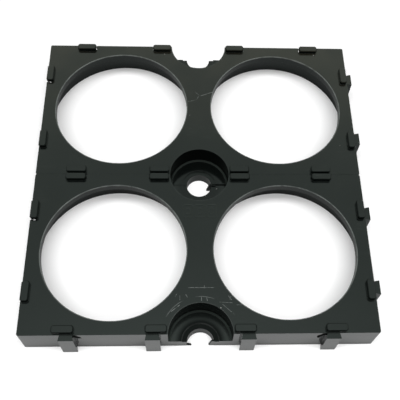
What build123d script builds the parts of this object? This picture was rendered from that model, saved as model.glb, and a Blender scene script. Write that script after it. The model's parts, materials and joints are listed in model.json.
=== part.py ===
from build123d import *
import os

# Battery cell holder bracket: two like mouldings, each holding two cells in a row,
# clipped edge to edge by dovetails into a holder for two rows of two.
# Millimetres. +Z is up, out of the face with the small windows.
# The origin is on the axis of the bolt hole that the two mouldings share, at the underside.

# --- cells and walls ---
cell_diameter = 40.0
bore_clearance = 0.4         # on the diameter
web_between_bores = 1.6
cells_in_row = 2
bracket_rows = 2
bracket_height = 9.5
window_diameter = 35.4       # the end of the cell shows here, and its rim stops against the lip
lip_thickness = 2.0
corner_radius = 0.4
window_edge_break = 0.12
bore_lead_in = 0.4

# --- bolt holes, half in each long edge ---
bolt_hole_diameter = 6.5
head_recess_diameter = 15.2
head_seat_thickness = 3.6
head_seat_corner = 0.4
washer_ring_diameter = 8.9
washer_ring_depth = 0.4

# --- dovetail connectors, and the pads over them ---
connector_offset = 10.65     # from the middle line of the cell to the middle of the pad
connector_shift = 0.78       # the dovetail stands this much nearer to the cell's middle line
tongue_reach = 1.3
tongue_root_width = 3.0
tongue_tip_width = 3.5
tongue_drop = 0.1            # from the top face down to the top of the tongue
tongue_embed = 0.4
fit_clearance = 0.15
socket_mouth_break = 0.3
seam_gap = 0.1
pad_length = 5.1
pad_depth = 1.9
pad_height = 1.05
pad_corner_cut = 0.4
pad_edge_break = 0.2
male_pad_setback = 0.2

# --- hollows cored out of the corners from below ---
core_wall = 1.4
core_roof = 2.2
core_corner_radius = 0.6

# --- sizes that follow ---
bore_radius = (cell_diameter + bore_clearance) / 2
window_radius = window_diameter / 2
cell_pitch = 2 * bore_radius + web_between_bores
bracket_length = cells_in_row * cell_pitch
bracket_width = cell_pitch
half_length = bracket_length / 2
half_width = bracket_width / 2
row_pitch = bracket_width + seam_gap
bore_depth = bracket_height - lip_thickness
head_recess_depth = bracket_height - head_seat_thickness
cell_places = [(place - (cells_in_row - 1) / 2) * cell_pitch for place in range(cells_in_row)]
bolt_places = [(place + 1) * cell_pitch - half_length for place in range(cells_in_row - 1)]
tongue_flare = (tongue_tip_width - tongue_root_width) / 2 / tongue_reach
socket_reach = tongue_reach + fit_clearance

# Every edge as its outward direction, its distance from the middle, and the cells along it.
male_edges = [(Vector(0, -1, 0), half_width, cell_places), (Vector(1, 0, 0), half_length, [0.0])]
female_edges = [(Vector(0, 1, 0), half_width, cell_places), (Vector(-1, 0, 0), half_length, [0.0])]


def edge_plane(centre, outward, distance, level):
    # A level plane with its origin on the edge, its Y pointing outward and its X along the edge.
    origin = centre + outward * distance + Vector(0, 0, level)
    return Plane(origin=origin, x_dir=outward.cross(Vector(0, 0, 1)), z_dir=(0, 0, 1))


def connector_places(cells, shift):
    # Two places to a cell, moved by the shift towards the cell's own middle line.
    return [cell + side * (connector_offset - shift) for cell in cells for side in (-1, 1)]


def dovetail_outline(reach, clearance, behind):
    # Root on the X axis, flaring up to the reach, grown sideways by the clearance.
    root = tongue_root_width / 2 + clearance
    tip = root + tongue_flare * reach
    with BuildSketch(mode=Mode.PRIVATE) as outline:
        with BuildLine():
            Polyline((-root, -behind), (-root, 0), (-tip, reach), (tip, reach), (root, 0), (root, -behind), close=True)
        make_face()
    return outline.sketch


def socket_outline():
    # The neighbour's tongue grown by the clearance, with the corners of the mouth cut off.
    throat = tongue_root_width / 2 + fit_clearance
    mouth = throat + socket_mouth_break
    with BuildSketch(mode=Mode.PRIVATE) as outline:
        add(dovetail_outline(socket_reach, fit_clearance, fit_clearance))
        with BuildLine():
            Polyline(
                (-mouth, -fit_clearance),
                (-mouth, seam_gap),
                (-throat, seam_gap + socket_mouth_break),
                (throat, seam_gap + socket_mouth_break),
                (mouth, seam_gap),
                (mouth, -fit_clearance),
                close=True,
            )
        make_face()
    return outline.sketch


def cell_cavity_outline():
    # Half section of one cell's seat, X outward and Y up: lead-in, bore, lip, window and its broken edge.
    with BuildSketch(mode=Mode.PRIVATE) as outline:
        with BuildLine():
            Polyline(
                (0, 0),
                (bore_radius + bore_lead_in, 0),
                (bore_radius, bore_lead_in),
                (bore_radius, bore_depth),
                (window_radius, bore_depth),
                (window_radius, bracket_height - window_edge_break),
                (window_radius + window_edge_break, bracket_height),
                (0, bracket_height),
                close=True,
            )
        make_face()
    return outline.sketch


def core_outline():
    # The corner hollow in the first quadrant of the outermost cell: square to the outer walls,
    # round to the bore, and clear of the dovetails on both edges.
    start = connector_offset - connector_shift + tongue_root_width / 2 + fit_clearance
    start = start + tongue_flare * socket_reach + core_wall
    end = half_width - core_wall
    with BuildSketch(mode=Mode.PRIVATE) as outline:
        with Locations(((start + end) / 2, (start + end) / 2)):
            Rectangle(end - start, end - start)
        Circle(bore_radius + core_wall, mode=Mode.SUBTRACT)
        fillet(outline.vertices(), core_corner_radius)
    return outline.sketch


def pad_outline():
    # A bar with its corners cut off.
    with BuildSketch(mode=Mode.PRIVATE) as outline:
        Rectangle(pad_length, pad_depth)
        chamfer(outline.vertices(), pad_corner_cut)
    return outline.sketch


def cell_bracket(centre, label):
    # One moulding, standing on its open side.
    top = centre + Vector(0, 0, bracket_height)

    with BuildPart() as bracket:
        with BuildSketch(Plane(origin=centre)):
            RectangleRounded(bracket_length, bracket_width, corner_radius)
        extrude(amount=bracket_height)

        # Seats for the cells, open from below.
        for place in cell_places:
            middle = centre + Vector(place, 0, 0)
            with BuildSketch(Plane(origin=middle, x_dir=(1, 0, 0), z_dir=(0, -1, 0))):
                add(cell_cavity_outline())
            revolve(axis=Axis(tuple(middle), (0, 0, 1)), mode=Mode.SUBTRACT)

        # Half bolt holes: their axes lie in the middle of the seam to the next bracket.
        seams = [Vector(place, side * row_pitch / 2, 0) for place in bolt_places for side in (-1, 1)]
        with Locations(*[top + seam for seam in seams]):
            CounterBoreHole(
                bolt_hole_diameter / 2,
                head_recess_diameter / 2,
                head_recess_depth,
                depth=bracket_height,
            )
            Hole(washer_ring_diameter / 2, depth=head_recess_depth + washer_ring_depth)

        rims = bracket.edges().filter_by(GeomType.CIRCLE)
        recess_rims = rims.filter_by(lambda rim: round(rim.radius, 3) == head_recess_diameter / 2)
        chamfer(recess_rims.group_by(Axis.Z)[0], head_seat_corner)

        # Sockets, cut up through the edge.
        for outward, distance, cells in female_edges:
            with BuildSketch(edge_plane(centre, -outward, -distance - seam_gap, 0)):
                with Locations(*[(place, 0) for place in connector_places(cells, connector_shift)]):
                    add(socket_outline())
            extrude(amount=bracket_height, mode=Mode.SUBTRACT)

        # Tongues, which stop short of the top face.
        for outward, distance, cells in male_edges:
            with BuildSketch(edge_plane(centre, outward, distance, 0)):
                with Locations(*[(place, 0) for place in connector_places(cells, connector_shift)]):
                    add(dovetail_outline(tongue_reach, 0, tongue_embed))
            extrude(amount=bracket_height - tongue_drop)

        # Hollows under the four corners.
        for across in (-1, 1):
            for along in (-1, 1):
                corner = centre + Vector(along * (half_length - half_width), 0, 0)
                with BuildSketch(Plane(origin=corner, x_dir=(along, 0, 0), z_dir=(0, 0, along * across))):
                    add(core_outline())
                extrude(amount=along * across * (bracket_height - core_roof), mode=Mode.SUBTRACT)

        # Pads: one over every connector, roofing the sockets.
        for edges, setback in ((male_edges, male_pad_setback), (female_edges, 0)):
            for outward, distance, cells in edges:
                with BuildSketch(edge_plane(centre, outward, distance, bracket_height)):
                    with Locations(*[(place, -setback - pad_depth / 2) for place in connector_places(cells, 0)]):
                        add(pad_outline())
                extrude(amount=pad_height)
        chamfer(bracket.edges().group_by(Axis.Z)[-1], pad_edge_break)

    bracket.part.label = label
    return bracket


os.makedirs("parts", exist_ok=True)
row_names = ["front_bracket", "rear_bracket"]
for row, name in enumerate(row_names):
    bracket = cell_bracket(Vector(0, (row - (bracket_rows - 1) / 2) * row_pitch, 0), name)
    export_step(bracket.part, f"parts/{name}.step")
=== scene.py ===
import json

import bmesh
import bpy
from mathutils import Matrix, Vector


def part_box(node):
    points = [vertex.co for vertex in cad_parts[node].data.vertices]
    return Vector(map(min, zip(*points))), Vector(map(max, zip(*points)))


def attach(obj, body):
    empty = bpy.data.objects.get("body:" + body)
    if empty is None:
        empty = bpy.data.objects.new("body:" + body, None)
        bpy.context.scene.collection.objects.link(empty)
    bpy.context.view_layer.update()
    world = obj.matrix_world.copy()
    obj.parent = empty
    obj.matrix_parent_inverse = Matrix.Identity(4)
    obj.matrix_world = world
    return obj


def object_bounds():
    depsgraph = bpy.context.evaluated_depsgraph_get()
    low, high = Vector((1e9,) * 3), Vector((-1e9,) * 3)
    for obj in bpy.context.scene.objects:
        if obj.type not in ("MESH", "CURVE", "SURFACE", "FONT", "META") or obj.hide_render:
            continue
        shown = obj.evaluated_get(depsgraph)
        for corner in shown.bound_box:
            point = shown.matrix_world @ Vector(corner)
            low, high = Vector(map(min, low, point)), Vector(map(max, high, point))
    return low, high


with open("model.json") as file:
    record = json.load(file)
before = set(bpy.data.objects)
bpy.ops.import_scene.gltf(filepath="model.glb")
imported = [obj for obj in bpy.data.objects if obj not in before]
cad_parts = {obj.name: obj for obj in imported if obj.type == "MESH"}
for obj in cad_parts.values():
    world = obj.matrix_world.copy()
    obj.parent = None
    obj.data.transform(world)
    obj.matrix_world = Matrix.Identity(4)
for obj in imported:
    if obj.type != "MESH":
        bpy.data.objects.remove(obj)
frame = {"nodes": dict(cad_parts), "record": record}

mm = 0.001
cadLow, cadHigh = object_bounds()
print("frame loaded:", ", ".join(sorted(frame["nodes"])))


# Places on the holder, read from its record and its solids.
def mountNamed(name):
    return next(m for m in frame["record"]["mounts"] if m["name"] == name)


def surfaceBelow(nodeName, x, y):
    # Height of the topmost surface of a bracket at a place.
    hit, spot, _, _ = frame["nodes"][nodeName].ray_cast(Vector((x, y, 0.1)), Vector((0, 0, -1)))
    return spot.z if hit else 0.0


boltRadius = mountNamed("centre_bolt_hole")["dims"]["r_mm"] * mm
cellAt = mountNamed("rear_right_cell_bore")["pos_m"]
recessRadius = mountNamed("centre_head_recess")["dims"]["r_mm"] * mm
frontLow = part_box("front_bracket")[0]
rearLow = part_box("rear_bracket")[0]
rowPitch = rearLow[1] - frontLow[1]
topHeight = surfaceBelow("front_bracket", 0.0, -rowPitch / 4)
seatHeight = surfaceBelow("rear_bracket", recessRadius * 0.75, 0.5 * mm)


def windowRadius(nodeName, step=0.02 * mm):
    # Walks out from a cell's axis until the bracket's top face is met.
    reach = 10 * mm
    while surfaceBelow(nodeName, cellAt[0] - reach, cellAt[1]) < topHeight - 0.01 * mm:
        reach += step
    return reach


windowReach = windowRadius("rear_bracket")
print("row pitch %.2f mm, top %.2f mm, bolt seat %.2f mm" % (rowPitch / mm, topHeight / mm, seatHeight / mm))


# Small helpers for building node trees.
def addNode(tree, kind, at, **settings):
    node = tree.nodes.new(kind)
    node.location = at
    for key, value in settings.items():
        setattr(node, key, value)
    return node


def fill(node, **values):
    # Sets the node's inputs, with underscores for the spaces in their names.
    for key, value in values.items():
        node.inputs[key.replace("_", " ")].default_value = value
    return node


def newGroup(name, kind, inputs, outputs):
    group = bpy.data.node_groups.new(name, kind)
    for label, socketType, value in inputs:
        socket = group.interface.new_socket(label, in_out="INPUT", socket_type=socketType)
        if value is not None:
            socket.default_value = value
    for label, socketType in outputs:
        group.interface.new_socket(label, in_out="OUTPUT", socket_type=socketType)
    start = addNode(group, "NodeGroupInput", (-900, 0))
    end = addNode(group, "NodeGroupOutput", (900, 0))
    return group, start, end


def feed(tree, socket, value):
    if isinstance(value, bpy.types.NodeSocket):
        tree.links.new(value, socket)
    elif value is not None:
        socket.default_value = value


def mathNode(tree, operation, at, first, second=None, third=None, clamp=False):
    node = addNode(tree, "ShaderNodeMath", at, operation=operation, use_clamp=clamp)
    for socket, value in zip(node.inputs, (first, second, third)):
        feed(tree, socket, value)
    return node.outputs[0]


def vectorNode(tree, operation, at, first, second=None, scale=None):
    node = addNode(tree, "ShaderNodeVectorMath", at, operation=operation)
    feed(tree, node.inputs[0], first)
    feed(tree, node.inputs[1], second)
    if scale is not None:
        feed(tree, node.inputs["Scale"], scale)
    return node.outputs["Value"] if operation in ("LENGTH", "DOT_PRODUCT") else node.outputs["Vector"]


def axisOf(tree, at, vector, axis):
    node = addNode(tree, "ShaderNodeSeparateXYZ", at)
    tree.links.new(vector, node.inputs[0])
    return node.outputs[axis]


def rangeNode(tree, at, value, fromLow, fromHigh, toLow=0.0, toHigh=1.0):
    node = addNode(tree, "ShaderNodeMapRange", at, clamp=True)
    for socket, entry in zip(node.inputs, (value, fromLow, fromHigh, toLow, toHigh)):
        feed(tree, socket, entry)
    return node.outputs["Result"]


def noiseNode(tree, at, vector, scale, detail=2.0, roughness=0.5):
    node = fill(addNode(tree, "ShaderNodeTexNoise", at), Detail=detail, Roughness=roughness)
    tree.links.new(vector, node.inputs["Vector"])
    feed(tree, node.inputs["Scale"], scale)
    return node.outputs["Fac"]


def rampNode(tree, at, factor, stops):
    node = addNode(tree, "ShaderNodeValToRGB", at)
    while len(node.color_ramp.elements) < len(stops):
        node.color_ramp.elements.new(0.5)
    for element, (place, tone) in zip(node.color_ramp.elements, stops):
        element.position = place
        element.color = tone if isinstance(tone, tuple) else (tone, tone, tone, 1)
    tree.links.new(factor, node.inputs[0])
    return node.outputs[0]


def mixColour(tree, at, factor, first, second):
    node = addNode(tree, "ShaderNodeMix", at, data_type="RGBA")
    for socket, value in zip((node.inputs[0], node.inputs[6], node.inputs[7]), (factor, first, second)):
        feed(tree, socket, value)
    return node.outputs[2]


def placed(tree, group, at, vector, **values):
    node = addNode(tree, "ShaderNodeGroup", at, node_tree=group)
    tree.links.new(vector, node.inputs["Vector"])
    return fill(node, **values)


# Effects that the materials place with their own values.
def makeMouldGrain():
    # Fine sparkle of a spark-eroded mould, with broad soft unevenness of shrinkage under it.
    group, start, end = newGroup(
        "mouldGrain", "ShaderNodeTree",
        [("Vector", "NodeSocketVector", None), ("Grain Scale", "NodeSocketFloat", 2600.0),
         ("Sink Scale", "NodeSocketFloat", 90.0), ("Sink Share", "NodeSocketFloat", 0.5),
         ("Smoothed", "NodeSocketFloat", 0.0)],
        [("Height", "NodeSocketFloat"), ("Patches", "NodeSocketFloat")],
    )
    grain = noiseNode(group, (-500, 200), start.outputs["Vector"], start.outputs["Grain Scale"], 3.0, 0.6)
    sink = noiseNode(group, (-500, -100), start.outputs["Vector"], start.outputs["Sink Scale"])
    share = mathNode(group, "MULTIPLY", (-100, -100), sink, start.outputs["Sink Share"])
    kept = mathNode(group, "MULTIPLY_ADD", (-300, 0), start.outputs["Smoothed"], -0.9, 1.0)
    fine = mathNode(group, "MULTIPLY", (-100, 100), grain, kept)
    group.links.new(mathNode(group, "ADD", (200, 100), fine, share), end.inputs["Height"])
    group.links.new(sink, end.inputs["Patches"])
    return group


def makeEdgeRubAndHighlight():
    # Rubbed edges with a painted highlight along them: where the rounded normal turns away from the true one, broken up
    # by noise.
    group, start, end = newGroup(
        "edgeRubAndHighlight", "ShaderNodeTree",
        [("Vector", "NodeSocketVector", None), ("Radius", "NodeSocketFloat", 0.15 * mm),
         ("Break Scale", "NodeSocketFloat", 700.0)],
        [("Mask", "NodeSocketFloat")],
    )
    soft = addNode(group, "ShaderNodeBevel", (-600, 200), samples=6)
    group.links.new(start.outputs["Radius"], soft.inputs["Radius"])
    geometry = addNode(group, "ShaderNodeNewGeometry", (-600, -20))
    turn = vectorNode(group, "DOT_PRODUCT", (-350, 100), soft.outputs["Normal"], geometry.outputs["Normal"])
    edge = rampNode(group, (-100, 100), turn, ((0.80, 1.0), (0.99, 0.0)))
    noise = noiseNode(group, (-350, -200), start.outputs["Vector"], start.outputs["Break Scale"], 4.0, 0.7)
    broken = rampNode(group, (-100, -200), noise, ((0.35, 0.15), (0.62, 1.0)))
    group.links.new(mathNode(group, "MULTIPLY", (400, 0), edge, broken, clamp=True), end.inputs["Mask"])
    return group


def makeScuffs():
    # Fine straight scratches in two directions, gathered in patches.
    group, start, end = newGroup(
        "scuffs", "ShaderNodeTree",
        [("Vector", "NodeSocketVector", None), ("Scale", "NodeSocketFloat", 260.0),
         ("Patch Scale", "NodeSocketFloat", 60.0)],
        [("Mask", "NodeSocketFloat")],
    )
    lines = []
    for row, (turn, stretch) in enumerate(((0.5, 14.0), (-0.9, 22.0))):
        mapping = addNode(group, "ShaderNodeMapping", (-650, 250 - 300 * row))
        mapping.inputs["Rotation"].default_value = (0, 0, turn)
        mapping.inputs["Scale"].default_value = (1.0, stretch, stretch)
        group.links.new(start.outputs["Vector"], mapping.inputs["Vector"])
        noise = noiseNode(group, (-450, 250 - 300 * row), mapping.outputs["Vector"], start.outputs["Scale"], 1.0, 0.4)
        lines.append(rampNode(group, (-200, 250 - 300 * row), noise, ((0.70, 0.0), (0.76, 1.0))))
    both = mathNode(group, "MAXIMUM", (150, 100), lines[0], lines[1])
    patch = noiseNode(group, (-450, -400), start.outputs["Vector"], start.outputs["Patch Scale"])
    gathered = rampNode(group, (-200, -400), patch, ((0.50, 0.0), (0.62, 1.0)))
    group.links.new(mathNode(group, "MULTIPLY", (450, 0), both, gathered, clamp=True), end.inputs["Mask"])
    return group


def makeSpecks():
    # Sparse pale specks of dust and plastic crumbs.
    group, start, end = newGroup(
        "specks", "ShaderNodeTree",
        [("Vector", "NodeSocketVector", None), ("Scale", "NodeSocketFloat", 420.0),
         ("Size", "NodeSocketFloat", 0.055)],
        [("Mask", "NodeSocketFloat")],
    )
    cells = addNode(group, "ShaderNodeTexVoronoi", (-500, 100))
    group.links.new(start.outputs["Vector"], cells.inputs["Vector"])
    group.links.new(start.outputs["Scale"], cells.inputs["Scale"])
    inside = mathNode(group, "LESS_THAN", (-200, 150), cells.outputs["Distance"], start.outputs["Size"])
    parts = addNode(group, "ShaderNodeSeparateColor", (-350, -150))
    group.links.new(cells.outputs["Color"], parts.inputs[0])
    chosen = mathNode(group, "GREATER_THAN", (-100, -150), parts.outputs[0], 0.8)
    group.links.new(mathNode(group, "MULTIPLY", (300, 0), inside, chosen), end.inputs["Mask"])
    return group


def makeToolFinish():
    # 0 on the lightly textured top face, 1 on walls and inside the bolt recesses, which polished steel formed.
    group, start, end = newGroup(
        "toolFinish", "ShaderNodeTree",
        [("Vector", "NodeSocketVector", None), ("Recess Radius", "NodeSocketFloat", 7.7 * mm),
         ("Row Pitch", "NodeSocketFloat", 42.1 * mm)],
        [("Polish", "NodeSocketFloat"), ("Bolt Distance", "NodeSocketFloat"), ("Top Face", "NodeSocketFloat"),
         ("Slope", "NodeSocketFloat")],
    )
    vector = start.outputs["Vector"]
    geometry = addNode(group, "ShaderNodeNewGeometry", (-700, 250))
    facing = axisOf(group, (-500, 250), geometry.outputs["True Normal"], "Z")
    wall = mathNode(group, "LESS_THAN", (-250, 250), facing, 0.5)
    tilt = mathNode(group, "ABSOLUTE", (-100, 400), mathNode(group, "SUBTRACT", (-250, 400), facing, 0.7))
    x = axisOf(group, (-700, -50), vector, "X")
    y = axisOf(group, (-700, -200), vector, "Y")
    rows = mathNode(group, "DIVIDE", (-550, -100), y, start.outputs["Row Pitch"])
    offset = mathNode(group, "SUBTRACT", (-250, -100), rows, mathNode(group, "ROUND", (-400, -100), rows))
    flat = addNode(group, "ShaderNodeCombineXYZ", (50, -50))
    group.links.new(x, flat.inputs["X"])
    group.links.new(mathNode(group, "MULTIPLY", (-100, -100), offset, start.outputs["Row Pitch"]), flat.inputs["Y"])
    reach = vectorNode(group, "LENGTH", (200, -50), flat.outputs[0])
    inside = mathNode(group, "LESS_THAN", (400, -50), reach, start.outputs["Recess Radius"])
    group.links.new(mathNode(group, "MAXIMUM", (600, 150), wall, inside), end.inputs["Polish"])
    group.links.new(reach, end.inputs["Bolt Distance"])
    slope = mathNode(group, "MULTIPLY", (600, 300), mathNode(group, "LESS_THAN", (50, 400), tilt, 0.12), inside)
    group.links.new(slope, end.inputs["Slope"])
    top = mathNode(group, "SUBTRACT", (700, -150), 1.0, mathNode(group, "MAXIMUM", (600, -150), wall, inside))
    group.links.new(top, end.inputs["Top Face"])
    return group


def makeStroke():
    # One scratch: 1 along the straight line between two places, thinned and broken by noise.
    group, start, end = newGroup(
        "stroke", "ShaderNodeTree",
        [("Vector", "NodeSocketVector", None), ("From", "NodeSocketVector", None), ("To", "NodeSocketVector", None),
         ("Width", "NodeSocketFloat", 0.15 * mm), ("Break Scale", "NodeSocketFloat", 1500.0)],
        [("Mask", "NodeSocketFloat")],
    )
    out = start.outputs
    run = vectorNode(group, "SUBTRACT", (-700, 200), out["To"], out["From"])
    away = vectorNode(group, "SUBTRACT", (-700, 0), out["Vector"], out["From"])
    away = vectorNode(group, "MULTIPLY", (-550, 0), away, (1, 1, 0))
    share = mathNode(group, "DIVIDE", (-250, 100), vectorNode(group, "DOT_PRODUCT", (-400, 100), away, run),
                     vectorNode(group, "DOT_PRODUCT", (-400, 250), run, run), clamp=True)
    nearest = vectorNode(group, "SCALE", (-100, 100), run, scale=share)
    gap = vectorNode(group, "LENGTH", (200, 50), vectorNode(group, "SUBTRACT", (50, 50), away, nearest))
    half = mathNode(group, "MULTIPLY", (200, -100), out["Width"], 0.5)
    core = rangeNode(group, (400, 50), mathNode(group, "DIVIDE", (300, 0), gap, half), 0.6, 1.2, 1.0, 0.0)
    noise = noiseNode(group, (-400, -250), out["Vector"], out["Break Scale"], 2.0, 0.6)
    broken = rampNode(group, (-150, -250), noise, ((0.36, 0.2), (0.56, 1.0)))
    group.links.new(mathNode(group, "MULTIPLY", (700, 0), core, broken), end.inputs["Mask"])
    return group


def makeRimHighlight():
    # A painted highlight line: 1 on a thin ring at one radius and from one height up, broken by noise.
    group, start, end = newGroup(
        "rimHighlightLine", "ShaderNodeTree",
        [("Vector", "NodeSocketVector", None), ("Distance", "NodeSocketFloat", 0.0), ("Radius", "NodeSocketFloat", 8 * mm),
         ("Width", "NodeSocketFloat", 0.2 * mm), ("Lowest", "NodeSocketFloat", 0.0), ("Break Scale", "NodeSocketFloat", 300.0)],
        [("Mask", "NodeSocketFloat")],
    )
    out = start.outputs
    gap = mathNode(group, "ABSOLUTE", (-500, 200), mathNode(group, "SUBTRACT", (-700, 200), out["Distance"], out["Radius"]))
    ring = rangeNode(group, (-200, 200), mathNode(group, "DIVIDE", (-350, 200), gap, out["Width"]), 0.4, 0.6, 1.0, 0.0)
    high = mathNode(group, "GREATER_THAN", (-350, 0), axisOf(group, (-550, 0), out["Vector"], "Z"), out["Lowest"])
    noise = noiseNode(group, (-550, -250), out["Vector"], out["Break Scale"], 2.0, 0.6)
    broken = rampNode(group, (-350, -250), noise, ((0.30, 0.35), (0.55, 1.0)))
    kept = mathNode(group, "MULTIPLY", (100, 100), ring, high)
    group.links.new(mathNode(group, "MULTIPLY", (300, 0), kept, broken), end.inputs["Mask"])
    return group


mouldGrain = makeMouldGrain()
toolFinish = makeToolFinish()
edgeRubAndHighlight = makeEdgeRubAndHighlight()
scuffs = makeScuffs()
specks = makeSpecks()
stroke = makeStroke()
rimHighlightLine = makeRimHighlight()
print("shared effects built")


# The black moulding compound.
plasticLook = {
    "colour": (0.0015, 0.0021, 0.0019, 1),
    "gloss tint": (0.86, 1.0, 0.95, 1),   # the compound's reflections lean to green
    # The rubbed tone also paints a pale highlight along the edges.
    "rubbedAndHighlit": (0.050, 0.054, 0.052, 1),
    "scratchAndHighlight": (0.17, 0.18, 0.175, 1),
    # Pale tone of the scratches, also used for the painted rim highlights.
    "paintedBackSheen": (0.011, 0.010, 0.007, 1),     # painted warm sheen on the top face towards the back
    "speck": (0.20, 0.20, 0.19, 1),
    "roughness": (0.15, 0.23),
    "polished": 0.05,                     # taken off the roughness where the tool was polished
    "ior": 1.55,
    "edgeRound": 0.07 * mm,
    "grainBump": 0.07,
    "grainDepth": 0.02 * mm,
    "rubAndHighlight": 0.12,
    "windowRimHighlight": 0.50,
    "recessRimHighlight": 0.14,
    "seatRing": 4.45 * mm,
    "scuff": 0.16,
    "wornDull": 0.25,                     # added to the roughness where worn and where edge and rim highlights are painted
    "slopeDull": 0.40,                    # and on the sloped ring round each bolt hole
    # Lowering the specular level by place paints shade on the pads' edges, the recess walls and the front seat.
    "specular": 0.5,                      # and the shares of it kept on
    "padGloss": 0.12,                     # the pads' edges
    "wallGloss": 0.10,                    # the recess walls
    "ringGloss": 0.20,                    # the front seat
    "seatShadeElsewhere": 0.30,                # how much of the seat's painted shade the other bolt holes get
    "rimHighlightsElsewhere": 0.25,                # and how much of the painted rim highlights
    "seatShadeRing": (4.9 * mm, 6.2 * mm),     # from here outwards the seat's gloss comes back
    "wornRing": {"radius": 9.1 * mm, "width": 0.16 * mm, "strength": 0.34, "clearOfPads": (4.0 * mm, 5.0 * mm)},
}

# Scratches seen on the top face: start and end in mm from the nearest bolt axis, width in mm, strength.
scratches = {
    "front": {
        "acrossNeck": ((-2.9, 11.3), (3.2, 11.3), 0.16, 0.55),
        "neckTick": ((0.9, 11.2), (0.9, 11.8), 0.14, 0.5),
        "leftSkid": ((-5.0, 7.0), (-6.9, 5.5), 0.20, 0.60),
        "rightSkid": ((5.1, 7.2), (7.2, 5.3), 0.15, 0.45),
        "rimTickLeft": ((0.2, 8.1), (0.2, 8.9), 0.15, 0.6),
        "rimTickRight": ((1.6, 8.1), (1.4, 8.9), 0.15, 0.6),
        "rightCrossA": ((6.6, 9.2), (7.3, 8.2), 0.14, 0.6),
        "rightCrossB": ((7.2, 9.1), (6.9, 8.4), 0.14, 0.6),
        "rightDash": ((4.5, 7.7), (7.5, 7.5), 0.14, 0.5),
        "rightFarDash": ((8.5, 7.0), (9.6, 7.0), 0.13, 0.4),
        "leftTickA": ((-4.9, 9.3), (-4.9, 8.3), 0.14, 0.5),
        "leftTickB": ((-3.5, 9.6), (-3.1, 8.9), 0.14, 0.6),
        "leftTickC": ((-5.7, 9.7), (-6.0, 9.1), 0.14, 0.45),
    },
    "back": {
        "branchRight": ((3.9, -15.9), (0.6, -17.2), 0.17, 0.55),
        "branchLeft": ((0.1, -17.1), (-1.0, -15.9), 0.14, 0.4),
        "branchDown": ((-0.1, -17.5), (-0.6, -18.5), 0.14, 0.45),
        "branchFoot": ((-0.6, -18.5), (-2.9, -19.2), 0.14, 0.45),
    },
}


def allScratches(tree, coords):
    # The scratches of both ends together.
    total = None
    for row, (end, lines) in enumerate(scratches.items()):
        axisY = -rowPitch if end == "front" else rowPitch
        for column, (begin, finish, width, strength) in enumerate(lines.values()):
            mark = placed(tree, stroke, (-2600 + 180 * column, 1200 + 350 * row), coords, Width=width * mm)
            mark.inputs["From"].default_value = (begin[0] * mm, begin[1] * mm + axisY, 0)
            mark.inputs["To"].default_value = (finish[0] * mm, finish[1] * mm + axisY, 0)
            one = mathNode(tree, "MULTIPLY", (-2600 + 180 * column, 1000 + 350 * row), mark.outputs[0], strength)
            total = one if total is None else mathNode(tree, "MAXIMUM", (-1500, 1200), total, one)
    return total


def frontOnly(tree, at, coords, elsewhere):
    # 1 on the front end of the front bracket, and the given share everywhere behind it.
    along = axisOf(tree, (at[0] - 200, at[1]), coords, "Y")
    return rangeNode(tree, at, along, -rowPitch * 0.5, -rowPitch * 0.6, elsewhere, 1.0)


def paintedRimHighlights(tree, coords, boltDistance):
    # Painted highlight lines on the edges of the windows, the recesses and the ring round each bolt hole.
    offsets = addNode(tree, "ShaderNodeCombineXYZ", (-2100, -900))
    for axis in (0, 1):
        name = "XY"[axis]
        side = mathNode(tree, "ABSOLUTE", (-2500, -900 - 200 * axis), axisOf(tree, (-2700, -900 - 200 * axis), coords, name))
        feed(tree, offsets.inputs[name], mathNode(tree, "SUBTRACT", (-2300, -900 - 200 * axis), side, cellAt[axis]))
    cellDistance = vectorNode(tree, "LENGTH", (-1950, -900), offsets.outputs[0])
    total = None
    frontMost = frontOnly(tree, (-2100, -1300), coords, plasticLook["rimHighlightsElsewhere"])
    for row, (distance, radius, width, lowest, strength) in enumerate((
        (cellDistance, windowReach - 0.10 * mm, 0.36 * mm, topHeight - 0.26 * mm, plasticLook["windowRimHighlight"]),
        (boltDistance, recessRadius + 0.02 * mm, 0.20 * mm, topHeight - 0.30 * mm, plasticLook["recessRimHighlight"]),
        (boltDistance, plasticLook["seatRing"], 0.16 * mm, 1.0 * mm, plasticLook["recessRimHighlight"]),
    )):
        line = placed(tree, rimHighlightLine, (-1750, -900 - 250 * row), coords, Radius=radius, Width=width, Lowest=lowest)
        tree.links.new(distance, line.inputs["Distance"])
        one = mathNode(tree, "MULTIPLY", (-1550, -900 - 250 * row), line.outputs[0], strength)
        if distance is not cellDistance:
            one = mathNode(tree, "MULTIPLY", (-1450, -900 - 250 * row), one, frontMost)
        total = one if total is None else mathNode(tree, "MAXIMUM", (-1400, -900), total, one)
    return total


def wornRing(tree, coords, boltDistance):
    # A broken pale ring on the top face round the front recess, kept clear of the pads beside it.
    ring = plasticLook["wornRing"]
    gap = mathNode(tree, "ABSOLUTE", (-1750, 800), mathNode(tree, "SUBTRACT", (-1900, 800), boltDistance, ring["radius"]))
    line = rangeNode(tree, (-1600, 800), gap, ring["width"] * 0.35, ring["width"] * 0.7, ring["strength"], 0.0)
    noise = noiseNode(tree, (-1900, 600), coords, 240.0, 2.0, 0.6)
    broken = rampNode(tree, (-1600, 600), noise, ((0.46, 0.0), (0.56, 1.0)))
    along = axisOf(tree, (-1800, 450), coords, "Y")
    frontEnd = frontOnly(tree, (-1600, 450), coords, 0.0)
    clearFrom, clearTo = ring["clearOfPads"]
    clearOfPads = rangeNode(tree, (-1600, 300), along, -rowPitch + clearFrom, -rowPitch + clearTo)
    part = mathNode(tree, "MULTIPLY", (-1400, 700), line, broken)
    part = mathNode(tree, "MULTIPLY", (-1300, 600), part, clearOfPads)
    return mathNode(tree, "MULTIPLY", (-1200, 700), part, frontEnd)


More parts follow.
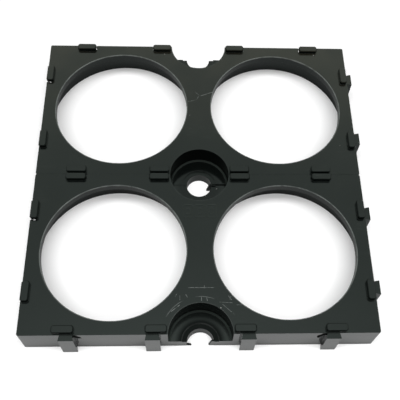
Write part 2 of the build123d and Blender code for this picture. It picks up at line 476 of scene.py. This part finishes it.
def shadedGlossShare(tree, coords, look):
    # Painted shade: share of the specular level left on the pads' edges, the recess walls and the seats, set by place.
    # The export leaves out a linked specular level, so this shows in Blender only.
    geometry = addNode(tree, "ShaderNodeNewGeometry", (-2300, -1700))
    facing = axisOf(tree, (-2100, -1700), geometry.outputs["True Normal"], "Z")
    height = axisOf(tree, (-2100, -1850), coords, "Z")
    across = axisOf(tree, (-2100, -2000), coords, "X")
    rows = mathNode(tree, "DIVIDE", (-2100, -2150), axisOf(tree, (-2300, -2150), coords, "Y"), rowPitch)
    nearest = mathNode(tree, "ROUND", (-2000, -2150), rows)
    offset = mathNode(tree, "MULTIPLY", (-1800, -2150), mathNode(tree, "SUBTRACT", (-1900, -2150), rows, nearest), rowPitch)
    flat = addNode(tree, "ShaderNodeCombineXYZ", (-1700, -2050))
    feed(tree, flat.inputs["X"], across)
    feed(tree, flat.inputs["Y"], offset)
    reach = vectorNode(tree, "LENGTH", (-1550, -2050), flat.outputs[0])
    inside = mathNode(tree, "LESS_THAN", (-1400, -2050), reach, recessRadius + 0.05 * mm)
    padEdge = mathNode(tree, "MULTIPLY", (-1700, -1700), mathNode(tree, "LESS_THAN", (-1900, -1700), facing, 0.9),
                       mathNode(tree, "GREATER_THAN", (-1900, -1850), height, topHeight + 0.01 * mm))
    wall = mathNode(tree, "MULTIPLY", (-1250, -1900), mathNode(tree, "LESS_THAN", (-1400, -1900), facing, 0.5), inside)
    wall = mathNode(tree, "MULTIPLY", (-1100, -1900), wall, mathNode(tree, "GREATER_THAN", (-1250, -2000), height, seatHeight))
    ring = rangeNode(tree, (-1400, -2250), reach, look["seatShadeRing"][0], look["seatShadeRing"][1], 1.0, 0.0)
    ring = mathNode(tree, "MULTIPLY", (-1250, -2250), ring, mathNode(tree, "GREATER_THAN", (-1400, -2400), facing, 0.95))
    low = mathNode(tree, "LESS_THAN", (-1250, -2400), height, seatHeight + 0.5 * mm)
    ring = mathNode(tree, "MULTIPLY", (-1100, -2250), ring, low)
    frontMost = frontOnly(tree, (-2100, -2400), coords, look["seatShadeElsewhere"])
    ring = mathNode(tree, "MULTIPLY", (-1000, -2350), ring, frontMost)
    left = mathNode(tree, "MULTIPLY_ADD", (-900, -1800), padEdge, look["padGloss"] - 1.0, 1.0)
    leftOnWall = mathNode(tree, "MULTIPLY_ADD", (-900, -1950), wall, look["wallGloss"] - 1.0, 1.0)
    left = mathNode(tree, "MULTIPLY", (-700, -1900), left, leftOnWall)
    leftOnRing = mathNode(tree, "MULTIPLY_ADD", (-900, -2250), ring, look["ringGloss"] - 1.0, 1.0)
    return mathNode(tree, "MULTIPLY", (-500, -2000), left, leftOnRing)


def makePlastic(name, look, marked=True):
    material = bpy.data.materials.new(name)
    material.use_nodes = True
    tree = material.node_tree
    links = tree.links
    shader = tree.nodes["Principled BSDF"]
    shader.inputs["IOR"].default_value = look["ior"]
    shader.inputs["Specular Tint"].default_value = look["gloss tint"]
    coords = addNode(tree, "ShaderNodeTexCoord", (-3000, 0)).outputs["Object"]

    finish = placed(tree, toolFinish, (-1500, -550), coords, Recess_Radius=recessRadius + 0.1 * mm, Row_Pitch=rowPitch)
    grain = placed(tree, mouldGrain, (-1200, -300), coords)
    links.new(finish.outputs["Polish"], grain.inputs["Smoothed"])
    # Rubbed edges, with a painted highlight along them, and scuffs lighten the colour.
    rubAndHighlight = placed(tree, edgeRubAndHighlight, (-1200, 100), coords)
    scratch = placed(tree, scuffs, (-1200, 350), coords)
    rubAndHighlightShare = mathNode(tree, "MULTIPLY", (-950, 100), rubAndHighlight.outputs["Mask"], look["rubAndHighlight"])
    scratchShare = mathNode(tree, "MULTIPLY", (-950, 350), scratch.outputs["Mask"], look["scuff"])
    wearAndHighlight = mathNode(tree, "MAXIMUM", (-700, 200), rubAndHighlightShare, scratchShare)

    # Painted sheen: the top face is warmed and lightened towards the back, broken into patches.
    back = rangeNode(tree, (-1200, -800), axisOf(tree, (-1400, -800), coords, "Y"), 0.2 * rowPitch, rowPitch)
    patchy = rampNode(tree, (-1200, -1000), grain.outputs["Patches"], ((0.35, 0.3), (0.6, 1.0)))
    paintedSheen = mathNode(tree, "MULTIPLY", (-950, -700), back, patchy)
    paintedSheen = mathNode(tree, "MULTIPLY", (-800, -700), paintedSheen, finish.outputs["Top Face"])
    colour = mixColour(tree, (-600, 450), paintedSheen, look["colour"], look["paintedBackSheen"])
    colour = mixColour(tree, (-450, 250), wearAndHighlight, colour, look["rubbedAndHighlit"])
    if marked:
        ring = wornRing(tree, coords, finish.outputs["Bolt Distance"])
        lines = mathNode(tree, "MAXIMUM", (-1000, 900), allScratches(tree, coords), ring)
        lines = mathNode(tree, "MULTIPLY", (-800, 900), lines, finish.outputs["Top Face"])
        # Painted highlight lines on the rims join the scratches in the same pale tone.
        lines = mathNode(tree, "MAXIMUM", (-700, 1000), lines, paintedRimHighlights(tree, coords, finish.outputs["Bolt Distance"]))
        colour = mixColour(tree, (-300, 350), lines, colour, look["scratchAndHighlight"])
        wearAndHighlight = mathNode(tree, "MAXIMUM", (-600, 800), wearAndHighlight, lines)
    dust = placed(tree, specks, (-1200, 600), coords)
    colour = mixColour(tree, (-150, 350), dust.outputs["Mask"], colour, look["speck"])
    links.new(colour, shader.inputs["Base Color"])

    low, high = look["roughness"]
    spread = rangeNode(tree, (-700, -150), grain.outputs["Patches"], 0.3, 0.7, low, high)
    rougher = mathNode(tree, "MULTIPLY_ADD", (-450, -100), wearAndHighlight, look["wornDull"], spread)
    smoother = mathNode(tree, "MULTIPLY_ADD", (-250, -100), finish.outputs["Polish"], -look["polished"], rougher)
    smoother = mathNode(tree, "MULTIPLY_ADD", (-150, -100), finish.outputs["Slope"], look["slopeDull"], smoother)
    links.new(smoother, shader.inputs["Roughness"])
    # The specular level carries the painted shade set by place.
    specular = mathNode(tree, "MULTIPLY", (-300, -1900), shadedGlossShare(tree, coords, look), look["specular"])
    links.new(specular, shader.inputs["Specular IOR Level"])

    bump = fill(addNode(tree, "ShaderNodeBump", (-450, -350)), Strength=look["grainBump"], Distance=look["grainDepth"])
    roundEdges = fill(addNode(tree, "ShaderNodeBevel", (-700, -450), samples=8), Radius=look["edgeRound"])
    links.new(roundEdges.outputs["Normal"], bump.inputs["Normal"])
    links.new(grain.outputs["Height"], bump.inputs["Height"])
    links.new(bump.outputs["Normal"], shader.inputs["Normal"])
    return material


blackPlastic = makePlastic("blackPlastic", plasticLook)
for node in frame["nodes"].values():
    node.data.materials.clear()
    node.data.materials.append(blackPlastic)
print("plastic on the brackets")


# Moulding flash: thin ragged fins left in the bolt holes along the edge where each bracket meets the next.
flashLook = {
    "thickness": 0.45 * mm,
    "inside": 0.06 * mm,         # how far behind the bracket's edge plane it stands
    "root": 0.12 * mm,           # sunk into the hole's wall
    "ridgeHeight": 0.45 * mm,
    "ridgeThickness": 0.22 * mm,
    # Free edge of the fin: part of the bolt radius across, part of the seat's height up.
    "rightFin": ((0.85, 0.98), (0.82, 0.86), (0.76, 0.74), (0.77, 0.60), (0.70, 0.45), (0.71, 0.33), (0.64, 0.20), (0.62, 0.03)),
    "leftSliver": ((0.98, 0.22), (0.90, 0.17), (0.80, 0.18), (0.74, 0.10), (0.68, 0.06), (0.65, 0.02)),
}


def prismPiece(name, outline, y0, y1, material):
    # A flat outline in the upright plane, given from top to bottom and closed, pulled from y0 to y1.
    work = bmesh.new()
    faces = []
    for y in (y0, y1):
        faces.append(work.faces.new([work.verts.new((x, y, z)) for x, z in outline]))
    front, back = faces
    count = len(outline)
    for index in range(count):
        after = (index + 1) % count
        work.faces.new((front.verts[index], front.verts[after], back.verts[after], back.verts[index]))
    bmesh.ops.recalc_face_normals(work, faces=work.faces)
    mesh = bpy.data.meshes.new(name)
    work.to_mesh(mesh)
    work.free()
    mesh.materials.append(material)
    piece = bpy.data.objects.new(name, mesh)
    bpy.context.scene.collection.objects.link(piece)
    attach(piece, "root")
    return piece


def makeFlash():
    plastic = makePlastic("flashPlastic", plasticLook, marked=False)
    for label, axisY in (("front", -rowPitch), ("centre", 0.0)):
        y0 = axisY + flashLook["inside"]
        y1 = y0 + flashLook["thickness"]
        wall = boltRadius + flashLook["root"]
        edge = [(across * boltRadius, up * seatHeight) for across, up in flashLook["rightFin"]]
        prismPiece(label + "Fin", edge + [(wall, edge[-1][1]), (wall, edge[0][1])], y0, y1, plastic)
        if label == "front":
            sliver = [(-across * boltRadius, up * seatHeight) for across, up in flashLook["leftSliver"]]
            prismPiece("frontSliver", sliver + [(-wall, sliver[-1][1]), (-wall, sliver[0][1])], y0, y1, plastic)
        else:
            # A low ridge of flash runs on across the seat, along the seam.
            low, high = seatHeight - 0.05 * mm, seatHeight + flashLook["ridgeHeight"]
            near, far = boltRadius * 1.02, recessRadius * 0.97
            strip = [(near, high * 0.99), (far, high), (far, low), (near, low)]
            prismPiece("seamRidge", strip, y0, y0 + flashLook["ridgeThickness"], plastic)


makeFlash()
print("flash fins in the bolt holes")


# Painted shade: thin dark patches that stand a hair proud of the front face beside the outer tongues, where small
# hollows hold shade.
nickShadeLook = {
    "proud": 0.02 * mm,
    "colour": (0.0010, 0.0014, 0.0012, 1),
    "specular": 0.05,
    "roughness": 0.9,
    # Outlines in mm: across from the tongue's middle towards the holder's middle, and down from the top face.
    "tear": ((1.4, 0.0), (2.1, 0.0), (2.7, 0.9), (3.2, 1.6), (3.35, 2.5), (2.7, 2.5), (2.0, 2.0), (1.4, 1.3)),
    "pit": ((2.65, 2.5), (2.8, 1.6), (3.1, 1.3), (3.4, 1.6), (3.55, 2.5), (3.4, 3.4), (3.1, 3.7), (2.8, 3.4)),
}


# Dark matte finish of the painted shade patches.
def makeNickShadeMaterial():
    material = bpy.data.materials.new("nickShadow")
    material.use_nodes = True
    tree = material.node_tree
    shader = tree.nodes["Principled BSDF"]
    shader.inputs["Specular IOR Level"].default_value = nickShadeLook["specular"]
    shader.inputs["Roughness"].default_value = nickShadeLook["roughness"]
    coords = addNode(tree, "ShaderNodeTexCoord", (-900, 0)).outputs["Object"]
    dark = nickShadeLook["colour"]
    crumb = tuple(5 * c for c in dark[:3]) + (1,)
    tone = rampNode(tree, (-500, 0), noiseNode(tree, (-700, 0), coords, 3000.0, 3.0), ((0.45, dark), (0.7, crumb)))
    tree.links.new(tone, shader.inputs["Base Color"])
    return material


def makeNickShadePatches():
    shadow = makeNickShadeMaterial()
    faceY = -rowPitch + flashLook["inside"] - 0.01 * mm
    for side, name, shapes in ((-1, "left", ("tear",)), (1, "right", ("tear", "pit"))):
        tongue = mountNamed("front_tongue_1" if side < 0 else "front_tongue_4")["pos_m"][0]
        for shape in shapes:
            outline = [(tongue - side * across * mm, topHeight - 0.02 * mm - down * mm) for across, down in nickShadeLook[shape]]
            prismPiece(name + shape.capitalize(), outline, faceY - nickShadeLook["proud"], faceY + 0.03 * mm, shadow)


makeNickShadePatches()
print("nicks on the front face")


# Mould mark: three plain rounded outlines standing a hair proud of the front bracket's neck.
markLook = {
    "count": 3,
    "step": 2.95 * mm,
    "width": 2.4 * mm,
    "height": 3.5 * mm,
    "corner": 0.45 * mm,
    "bead": 0.125 * mm,
    "sink": 0.04 * mm,           # how far the bead's axis lies below the face
    "behindBolt": 10.6 * mm,     # from the centre bolt axis to the middle of the row
}


def makeMouldMark():
    tree, start, end = newGroup(
        "mouldMarkShapes", "GeometryNodeTree",
        [("Geometry", "NodeSocketGeometry", None), ("Count", "NodeSocketInt", 3), ("Step", "NodeSocketFloat", 2.5 * mm),
         ("Width", "NodeSocketFloat", 2 * mm), ("Height", "NodeSocketFloat", 3 * mm), ("Corner", "NodeSocketFloat", 0.4 * mm),
         ("Bead", "NodeSocketFloat", 0.06 * mm), ("Centre", "NodeSocketVector", None), ("Finish", "NodeSocketMaterial", None)],
        [("Geometry", "NodeSocketGeometry")],
    )
    out = start.outputs
    profile = addNode(tree, "GeometryNodeCurvePrimitiveCircle", (-500, -250))
    profile.inputs["Resolution"].default_value = 6
    tree.links.new(out["Bead"], profile.inputs["Radius"])
    rims = []
    for row, shrink in enumerate((1.0, 0.45)):
        outline = addNode(tree, "GeometryNodeCurvePrimitiveQuadrilateral", (-500, 200 - 250 * row))
        feed(tree, outline.inputs["Width"], mathNode(tree, "MULTIPLY", (-700, 250 - 250 * row), out["Width"], shrink))
        feed(tree, outline.inputs["Height"], mathNode(tree, "MULTIPLY", (-700, 150 - 250 * row), out["Height"], shrink))
        rounded = addNode(tree, "GeometryNodeFilletCurve", (-300, 200 - 250 * row), mode="POLY")
        rounded.inputs["Count"].default_value = 4
        rounded.inputs["Limit Radius"].default_value = True
        tree.links.new(outline.outputs[0], rounded.inputs[0])
        tree.links.new(out["Corner"], rounded.inputs["Radius"])
        rim = addNode(tree, "GeometryNodeCurveToMesh", (-100, 200 - 250 * row))
        tree.links.new(rounded.outputs[0], rim.inputs["Curve"])
        tree.links.new(profile.outputs[0], rim.inputs["Profile Curve"])
        rims.append(rim.outputs[0])
    both = addNode(tree, "GeometryNodeJoinGeometry", (50, 100))
    for rim in rims:
        tree.links.new(rim, both.inputs[0])
    row = addNode(tree, "GeometryNodeMeshLine", (50, 350), mode="OFFSET")
    tree.links.new(out["Count"], row.inputs["Count"])
    stepVector = addNode(tree, "ShaderNodeCombineXYZ", (-150, 400))
    tree.links.new(out["Step"], stepVector.inputs["X"])
    tree.links.new(stepVector.outputs[0], row.inputs["Offset"])
    spread = addNode(tree, "GeometryNodeInstanceOnPoints", (250, 200))
    tree.links.new(row.outputs[0], spread.inputs["Points"])
    tree.links.new(both.outputs[0], spread.inputs["Instance"])
    moved = addNode(tree, "GeometryNodeTransform", (400, 200))
    tree.links.new(spread.outputs[0], moved.inputs[0])
    tree.links.new(out["Centre"], moved.inputs["Translation"])
    real = addNode(tree, "GeometryNodeRealizeInstances", (550, 200))
    tree.links.new(moved.outputs[0], real.inputs[0])
    painted = addNode(tree, "GeometryNodeSetMaterial", (700, 200))
    tree.links.new(real.outputs[0], painted.inputs[0])
    tree.links.new(out["Finish"], painted.inputs["Material"])
    tree.links.new(painted.outputs[0], end.inputs[0])

    carrier = bpy.data.objects.new("mouldMarkCarrier", bpy.data.meshes.new("mouldMarkCarrier"))
    bpy.context.scene.collection.objects.link(carrier)
    grown = carrier.modifiers.new("shapes", "NODES")
    grown.node_group = tree
    look = markLook
    first = (-look["step"] * (look["count"] - 1) / 2, -look["behindBolt"], topHeight - look["sink"])
    values = {"Count": look["count"], "Step": look["step"], "Width": look["width"], "Height": look["height"],
              "Corner": look["corner"], "Bead": look["bead"], "Centre": first, "Finish": blackPlastic}
    for item in tree.interface.items_tree:
        if item.item_type == "SOCKET" and item.in_out == "INPUT" and item.name in values:
            grown[item.identifier] = values[item.name]
    bpy.context.view_layer.update()
    seen = carrier.evaluated_get(bpy.context.evaluated_depsgraph_get())
    mesh = bpy.data.meshes.new_from_object(seen)
    bpy.data.objects.remove(carrier)
    mark = bpy.data.objects.new("mouldMark", mesh)
    bpy.context.scene.collection.objects.link(mark)
    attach(mark, "root")
    return mark


makeMouldMark()
print("mould mark on the front bracket")


# Floor, light and camera.
stageLook = {
    "floorSize": 3.0,
    "floorColour": (0.90, 0.90, 0.90, 1),
    "floorLift": 1.10,           # the floor is shown this much brighter than it lights the plastic
    "shadowLift": 0.16,          # share of plain white in every shadow on the floor
    "mirroredInside": 0.34,      # painted shade: how bright the plastic's gloss shows the floor in the windows
    "mirroredOutside": 0.64,     # and the open floor round the holder
    "whiteFrom": 2.5 * mm,       # beyond this far outside the holder the floor shows burnt out
    "whiteOver": 2.0 * mm,
    "whiteShare": 0.75,
    "holeLightShare": 0.80,           # painted light: as much again on the spot under the centre bolt hole
    "roomLight": 0.26,
    # What the gloss mirrors, from the horizon up to overhead, at half its strength.
    "roomGloss": ((0.0, (0.72, 0.80, 0.75, 1)), (0.50, (0.70, 0.76, 0.71, 1)), (0.70, (0.48, 0.47, 0.43, 1)),
                  (0.78, (0.40, 0.40, 0.37, 1)), (0.875, (0.29, 0.30, 0.29, 1)), (0.93, (0.33, 0.34, 0.33, 1)),
                  (0.965, (0.50, 0.51, 0.50, 1)), (1.0, (0.46, 0.48, 0.46, 1))),
    "blocked": (0.10, 0.11, 0.105, 1),
    "lamps": {
        "overheadStrip": {"at": (0.0, -0.07, 0.65), "size": (0.84, 0.20), "power": 4.5, "colour": (1.0, 1.0, 1.0)},
        "frontBox": {"at": (0.0, -0.40, 0.52), "size": (0.40, 0.25), "power": 1.30, "colour": (1.0, 1.0, 1.0)},
    },
    "aim": (0.0, 0.0, 0.0),
}


def makeFloor():
    half = stageLook["floorSize"] / 2
    mesh = bpy.data.meshes.new("floor")
    mesh.from_pydata([(-half, -half, 0), (half, -half, 0), (half, half, 0), (-half, half, 0)], [], [(0, 1, 2, 3)])
    floor = bpy.data.objects.new("floor", mesh)
    bpy.context.scene.collection.objects.link(floor)
    material = bpy.data.materials.new("paleFloor")
    material.use_nodes = True
    tree = material.node_tree
    tree.nodes.remove(tree.nodes["Principled BSDF"])
    coords = addNode(tree, "ShaderNodeTexCoord", (-1700, 0)).outputs["Object"]
    shader = addNode(tree, "ShaderNodeBsdfDiffuse", (0, 0))
    mottle = noiseNode(tree, (-400, 50), coords, 40.0)
    darker = tuple(0.985 * c for c in stageLook["floorColour"][:3]) + (1,)
    tone = mixColour(tree, (-300, 50), mottle, stageLook["floorColour"], darker)

    # How far a place lies outside the holder's footprint.
    middle = [(cadLow[axis] + cadHigh[axis]) / 2 for axis in (0, 1)]
    gaps = []
    for axis, name in enumerate("XY"):
        place = axisOf(tree, (-1500, -200 * axis), coords, name)
        offset = mathNode(tree, "SUBTRACT", (-1350, -200 * axis), place, middle[axis])
        offset = mathNode(tree, "ABSOLUTE", (-1200, -200 * axis), offset)
        gaps.append(mathNode(tree, "SUBTRACT", (-1050, -200 * axis), offset, (cadHigh[axis] - cadLow[axis]) / 2))
    outside = mathNode(tree, "MAXIMUM", (-900, -100), gaps[0], gaps[1])
    start = stageLook["whiteFrom"]
    bleached = rangeNode(tree, (-700, -100), outside, start, start + stageLook["whiteOver"], 0.0, stageLook["whiteShare"])
    # Painted light: the floor under the centre bolt hole is shown whiter.
    fromCentre = vectorNode(tree, "LENGTH", (-900, -500), coords)
    spot = rangeNode(tree, (-700, -500), fromCentre, boltRadius * 1.3, boltRadius * 1.8, stageLook["holeLightShare"], 0.0)
    bleached = mathNode(tree, "MAXIMUM", (-500, -200), bleached, spot)
    bleached = mathNode(tree, "MAXIMUM", (-400, -200), bleached, stageLook["shadowLift"])
    paths = addNode(tree, "ShaderNodeLightPath", (-700, -800))
    # Painted shade: glossy rays see the floor inside the footprint darker than the open floor.
    level = rangeNode(tree, (-700, 300), outside, -1.8 * mm, -0.8 * mm, stageLook["mirroredInside"], stageLook["mirroredOutside"])
    change = mathNode(tree, "SUBTRACT", (-600, 400), level, 1.0)
    dim = mathNode(tree, "MULTIPLY_ADD", (-500, 300), paths.outputs["Is Glossy Ray"], change, 1.0)
    dim = mathNode(tree, "MULTIPLY_ADD", (-350, 300), paths.outputs["Is Camera Ray"], stageLook["floorLift"] - 1.0, dim)
    dimmed = addNode(tree, "ShaderNodeVectorMath", (-150, 150), operation="SCALE")
    feed(tree, dimmed.inputs[0], tone)
    feed(tree, dimmed.inputs["Scale"], dim)
    tree.links.new(dimmed.outputs["Vector"], shader.inputs["Color"])
    seen = mathNode(tree, "MAXIMUM", (-500, -700), paths.outputs["Is Camera Ray"], paths.outputs["Is Transmission Ray"])
    share = mathNode(tree, "MULTIPLY", (-300, -300), bleached, seen)
    white = addNode(tree, "ShaderNodeEmission", (0, -200))
    lit = addNode(tree, "ShaderNodeMixShader", (200, -50))
    tree.links.new(share, lit.inputs[0])
    tree.links.new(shader.outputs[0], lit.inputs[1])
    tree.links.new(white.outputs[0], lit.inputs[2])
    # Seen from underneath the floor isn't there, so that the open side can be looked at.
    geometry = addNode(tree, "ShaderNodeNewGeometry", (0, 400))
    clear = addNode(tree, "ShaderNodeBsdfTransparent", (0, 200))
    choose = addNode(tree, "ShaderNodeMixShader", (400, 200))
    tree.links.new(geometry.outputs["Backfacing"], choose.inputs[0])
    tree.links.new(lit.outputs[0], choose.inputs[1])
    tree.links.new(clear.outputs[0], choose.inputs[2])
    tree.links.new(choose.outputs[0], tree.nodes["Material Output"].inputs["Surface"])
    mesh.materials.append(material)


def makeWorld():
    world = bpy.data.worlds.new("softRoom")
    bpy.context.scene.world = world
    world.use_nodes = True
    tree = world.node_tree
    background = tree.nodes["Background"]
    paths = addNode(tree, "ShaderNodeLightPath", (-900, 0))
    direction = addNode(tree, "ShaderNodeTexCoord", (-1300, 300)).outputs["Generated"]
    height = axisOf(tree, (-1100, 300), direction, "Z")
    gloss = rampNode(tree, (-900, 300), height, stageLook["roomGloss"])
    level = stageLook["roomLight"] / 2
    # The gloss sees less light low down on the near side.
    low = rangeNode(tree, (-900, 500), height, 0.50, 0.62, 1.0, 0.0)
    near = rangeNode(tree, (-900, 650), axisOf(tree, (-1100, 650), direction, "Y"), -0.45, -0.75)
    shade = mathNode(tree, "MULTIPLY", (-700, 550), low, near)
    gloss = mixColour(tree, (-600, 350), shade, gloss, stageLook["blocked"])
    mirrored = mixColour(tree, (-500, 200), paths.outputs["Is Glossy Ray"], (level, level, level, 1), gloss)
    shown = mixColour(tree, (-300, 100), paths.outputs["Is Camera Ray"], mirrored, (0.5, 0.5, 0.5, 1))
    tree.links.new(shown, background.inputs["Color"])
    background.inputs["Strength"].default_value = 2.0


def makeLamps():
    for name, facts in stageLook["lamps"].items():
        data = bpy.data.lights.new(name, "AREA")
        data.shape = "RECTANGLE"
        data.size, data.size_y = facts["size"]
        data.energy = facts["power"]
        data.color = facts["colour"]
        lamp = bpy.data.objects.new(name, data)
        lamp.visible_glossy = False      # the gloss mirrors the room instead
        lamp.location = facts["at"]
        lamp.rotation_euler = (Vector(stageLook["aim"]) - Vector(facts["at"])).to_track_quat("-Z", "Y").to_euler()
        bpy.context.scene.collection.objects.link(lamp)


def makeCamera():
    # Hand-held above the near edge, looking down and slightly forward.
    view = {
        "place": (-3.949 * mm, -87.433 * mm, 166.680 * mm),
        "turn": (0.50849, -0.04545, -0.02202),
        "lens": 62.406,
        "shift": (-0.04808, -0.06467),
    }
    data = bpy.data.cameras.new("handCamera")
    data.sensor_width = 36.0
    data.lens = view["lens"]
    data.shift_x, data.shift_y = view["shift"]
    data.clip_start, data.clip_end = 0.005, 10.0
    camera = bpy.data.objects.new("handCamera", data)
    camera.location = view["place"]
    camera.rotation_euler = view["turn"]
    bpy.context.scene.collection.objects.link(camera)
    bpy.context.scene.camera = camera


makeFloor()
makeWorld()
makeLamps()
makeCamera()
bpy.context.scene.view_settings.view_transform = "Standard"
print("stage set")
